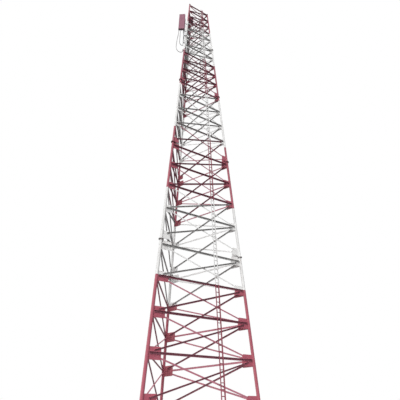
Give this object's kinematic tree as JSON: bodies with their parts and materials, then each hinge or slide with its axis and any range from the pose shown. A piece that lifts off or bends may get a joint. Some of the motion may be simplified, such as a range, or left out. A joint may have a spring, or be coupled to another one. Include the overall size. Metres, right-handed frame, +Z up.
{
  "type": "radio mast",
  "caption": "Tapered triangular lattice radio mast with bolted tube legs, crossed angle bracing, a climbing ladder, a panel antenna and a drum antenna, painted in red and white bands.",
  "frame": {"origin": "centre of the underside of the left leg's foot plate, which is bolted down", "axes": "+X along the front side from the left foot to the right foot, +Y from the ladder side into the tower, +Z up"},
  "size_m": [6.13, 5.373, 38.85],
  "materials": {
    "red_paint": "weathered satin",
    "white_paint": "weathered satin",
    "galvanized": "dull zinc",
    "antenna_red": "matte",
    "cable_grey": "matte",
    "drum_grey": "satin"
  },
  "bodies": {
    "root": {"foot_left": "galvanized", "foot_right": "galvanized", "foot_rear": "galvanized", "leg_left_1": "red_paint", "leg_left_2": "red_paint", "leg_left_3": "white_paint", "leg_left_4": "red_paint", "leg_left_5": "red_paint", "leg_right_1": "red_paint", "leg_right_2": "red_paint", "leg_right_3": "white_paint", "leg_right_4": "red_paint", "leg_right_5": "red_paint", "leg_rear_1": "red_paint", "leg_rear_2": "red_paint", "leg_rear_3": "white_paint", "leg_rear_4": "red_paint", "leg_rear_5": "red_paint", "bracing_front_1": "red_paint", "bracing_front_2": "red_paint", "bracing_front_3": "white_paint", "bracing_front_4": "red_paint", "bracing_front_5": "red_paint", "bracing_right_1": "red_paint", "bracing_right_2": "red_paint", "bracing_right_3": "white_paint", "bracing_right_4": "red_paint", "bracing_right_5": "red_paint", "bracing_left_1": "red_paint", "bracing_left_2": "red_paint", "bracing_left_3": "white_paint", "bracing_left_4": "red_paint", "bracing_left_5": "red_paint", "ladder_1": "red_paint", "ladder_2": "red_paint", "ladder_3": "white_paint", "ladder_4": "red_paint", "ladder_5": "red_paint", "panel_antenna": "antenna_red", "panel_pole": "galvanized", "panel_arms": "galvanized", "feeder_cables": "cable_grey", "cable_clamps": "galvanized", "drum_antenna": "drum_grey", "drum_pole": "galvanized"}
  },
  "joints": []
}
